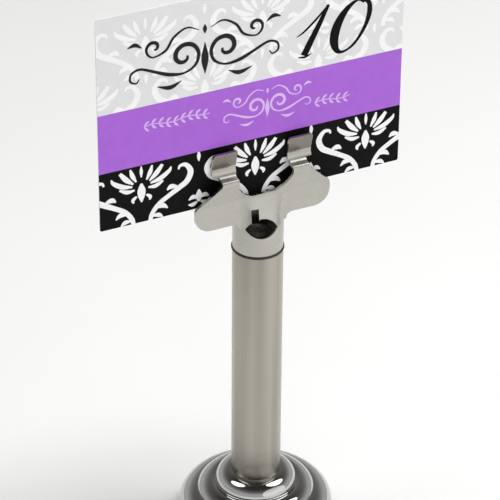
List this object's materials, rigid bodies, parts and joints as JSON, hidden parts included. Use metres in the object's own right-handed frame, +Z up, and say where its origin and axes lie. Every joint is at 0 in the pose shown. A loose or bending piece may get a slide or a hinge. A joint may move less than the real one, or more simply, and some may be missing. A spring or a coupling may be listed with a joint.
{
  "type": "table number holder",
  "caption": "Table number holder: a stepped round base, a straight stem and a turning sheet-metal clip that stands a printed card upright.",
  "frame": {"origin": "centre of the base's underside, on the table", "axes": "+Z up along the stem, -Y towards the printed face of the card, +X to the right as a guest reads the card"},
  "size_m": [0.127, 0.0626, 0.2455],
  "materials": {
    "chrome": "polished chrome plate over spun steel",
    "satin_nickel": "satin nickel plate over steel",
    "sheet_nickel": "fine satin nickel plate over pressed spring steel",
    "iron": "black-painted casting",
    "zinc": "bright zinc plate",
    "nylon": "matt, dark",
    "felt": "dense wool felt",
    "card": "matt printed card stock"
  },
  "bodies": {
    "stand": {"base_shell": "chrome", "base_weight": "iron", "base_plate": "zinc", "felt_pad": "felt", "stem_tube": "satin_nickel", "foot_plug": "zinc", "rim_plug": "zinc", "stem_bolt": "zinc", "stem_washer": "zinc", "lock_washer": "zinc", "rim_gasket": "nylon", "pivot_screw": "zinc"},
    "head": {"drag_washer": "zinc", "neck_floor": "zinc", "neck_sleeve": "sheet_nickel", "neck_cap": "sheet_nickel", "front_plate": "sheet_nickel", "tongue_foot": "sheet_nickel", "clamp_pins": "zinc"},
    "tongue": {"rear_tongue": "sheet_nickel"},
    "card": {"card": "card"}
  },
  "joints": [
    {"name": "head_swivel", "type": "hinge", "parent": "stand", "child": "head", "pos_m": [0, 0, 0.133], "axis": [0, 0, 1], "continuous": true},
    {"name": "tongue_flex", "type": "hinge", "parent": "head", "child": "tongue", "pos_m": [0, 0.0012, 0.1572], "axis": [-1, 0, 0], "range_deg": [0, 8], "stiffness_Nm_per_rad": 0.5},
    {"name": "card_lift", "type": "slide", "parent": "head", "child": "card", "axis": [0, 0, 1], "range_m": [0, 0.03]}
  ]
}
